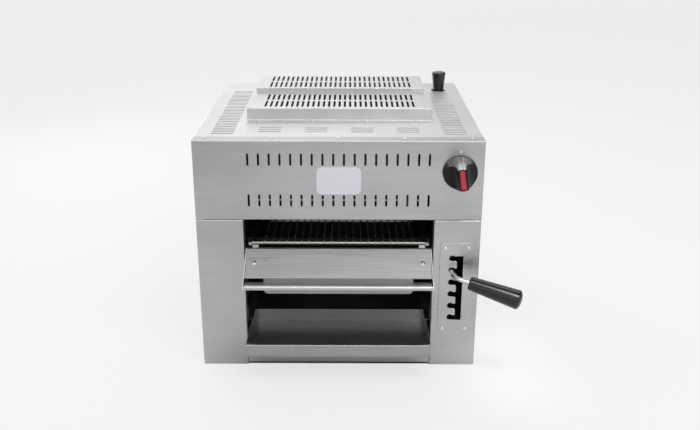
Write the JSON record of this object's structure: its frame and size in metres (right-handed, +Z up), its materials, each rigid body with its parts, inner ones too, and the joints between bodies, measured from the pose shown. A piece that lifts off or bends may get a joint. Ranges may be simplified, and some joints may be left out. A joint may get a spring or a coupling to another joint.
{
  "type": "cheese melter",
  "caption": "Countertop gas cheese melter: overhead burner in a vented steel casing, with a rack that a notched lever raises and lowers, a drip tray and a push-and-turn gas knob.",
  "frame": {"origin": "centre of the underside", "axes": "+X to the right as seen from the front, +Y to the rear, +Z up; the front face looks along -Y"},
  "size_m": [0.691, 0.6565, 0.579],
  "materials": {
    "brushed_steel": "horizontally brushed stainless sheet",
    "satin_steel": "finely brushed, bright stainless sheet",
    "galvanised_steel": "plain sheet, dull",
    "zinc_hardware": "bright plated screws and pins",
    "polished_rod": "polished rod",
    "nickel_wire": "plated wire",
    "dark_liner": "heat-darkened sheet",
    "black_bakelite": "moulded, glossy",
    "red_insert": "moulded red strip",
    "badge_blank": "blank white plate",
    "ceramic_tile": "porous burner tile",
    "brass": "turned",
    "steel_pipe": "drawn pipe",
    "spring_steel": "oiled spring wire"
  },
  "bodies": {
    "root": {"base_pan": "galvanised_steel", "leg_nuts": "zinc_hardware", "base_rail": "brushed_steel", "left_pillar": "brushed_steel", "right_pillar": "brushed_steel", "left_side_panel": "brushed_steel", "right_side_panel": "brushed_steel", "rear_panel": "brushed_steel", "hood_front_panel": "brushed_steel", "top_panel": "satin_steel", "front_flue_cover": "satin_steel", "rear_flue_cover": "satin_steel", "top_screws": "zinc_hardware", "badge_plate": "badge_blank", "indicator_dot": "badge_blank", "left_liner": "dark_liner", "right_liner": "dark_liner", "rear_liner": "dark_liner", "tray_runners": "galvanised_steel", "guide_plate": "brushed_steel", "guide_plate_screws": "zinc_hardware", "burner_plenum": "dark_liner", "burner_tiles": "ceramic_tile", "burner_screen": "nickel_wire", "burner_hangers": "galvanised_steel", "mixing_tube": "steel_pipe", "feed_pipe": "steel_pipe", "orifice": "brass", "gas_inlet_pipe": "steel_pipe", "gas_valve": "brass", "pilot_line": "steel_pipe", "bearing_brackets": "galvanised_steel", "pivot_bushes": "brass", "tension_bracket": "galvanised_steel"},
    "lift_arms": {"upper_shaft": "polished_rod", "upper_arms": "dark_liner", "lever_crank": "steel_pipe"},
    "follower_arms": {"lower_shaft": "polished_rod", "lower_arms": "dark_liner"},
    "carriage": {"left_carriage_side": "dark_liner", "right_carriage_side": "dark_liner", "carriage_bars": "dark_liner", "carriage_pins": "zinc_hardware"},
    "rack": {"rack_grid": "nickel_wire", "rack_brackets": "galvanised_steel", "apron": "satin_steel", "handle_rail": "satin_steel", "apron_screws": "zinc_hardware"},
    "lever": {"lever_rod": "polished_rod", "lever_grip": "black_bakelite"},
    "tray": {"drip_tray": "satin_steel"},
    "plug": {"valve_plug": "brass"},
    "knob": {"valve_stem": "polished_rod", "gas_knob": "black_bakelite", "knob_insert": "red_insert"},
    "tensioner": {"tension_knob": "black_bakelite", "tension_screw": "polished_rod"},
    "nut": {"tension_nut": "brass", "counter_spring": "spring_steel"},
    "spring_end": {"spring_plug": "spring_steel"}
  },
  "joints": [
    {"name": "lift", "type": "hinge", "parent": "root", "child": "lift_arms", "pos_m": [0, 0.225, 0.193], "axis": [-1, 0, 0], "range_deg": [-13.35, 3.31], "deforming": ["counter_spring"]},
    {"name": "follower_lift", "type": "hinge", "parent": "root", "child": "follower_arms", "pos_m": [0, 0.225, 0.143], "axis": [-1, 0, 0], "range_deg": [-13.45, 3.41]},
    {"name": "carriage_level", "type": "hinge", "parent": "lift_arms", "child": "carriage", "pos_m": [0, -0.07383, 0.21941], "axis": [-1, 0, 0], "range_deg": [-3.41, 13.45]},
    {"name": "rack_slide", "type": "slide", "parent": "carriage", "child": "rack", "axis": [0, -1, 0], "range_m": [0, 0.2]},
    {"name": "lever_flick", "type": "hinge", "parent": "lift_arms", "child": "lever", "pos_m": [0.2455, 0.16523, 0.19828], "axis": [0, 0.088, 0.9961], "range_deg": [0, 2.4], "stiffness_Nm_per_rad": 60, "deforming": ["lever_rod"]},
    {"name": "tray_slide", "type": "slide", "parent": "root", "child": "tray", "axis": [0, -1, 0], "range_m": [-0.078, 0.03]},
    {"name": "gas_turn", "type": "hinge", "parent": "root", "child": "plug", "pos_m": [0.2544, -0.225, 0.4635], "axis": [0, -1, 0], "range_deg": [-8, 172]},
    {"name": "knob_push", "type": "slide", "parent": "plug", "child": "knob", "axis": [0, 1, 0], "range_m": [0, 0.0035], "stiffness_N_per_m": 1500},
    {"name": "tension_turn", "type": "hinge", "parent": "root", "child": "tensioner", "pos_m": [0.254, 0.18715, 0.5], "axis": [0, 0, 1], "range_deg": [-1080, 1080]},
    {"name": "nut_travel", "type": "slide", "parent": "root", "child": "nut", "axis": [0, 0, 1], "range_m": [-0.0038, 0.0038]},
    {"name": "spring_end_swing", "type": "hinge", "parent": "lift_arms", "child": "spring_end", "pos_m": [0.254, 0.18715, 0.19634], "axis": [-1, 0, 0], "range_deg": [-3.41, 13.45]}
  ],
  "couplings": [
    {"joint": "follower_lift", "follows": "lift", "ratio": 1},
    {"joint": "carriage_level", "follows": "lift", "ratio": -1},
    {"joint": "spring_end_swing", "follows": "lift", "ratio": -1},
    {"joint": "nut_travel", "follows": "tension_turn", "m_per_rad": 0.00019894}
  ]
}
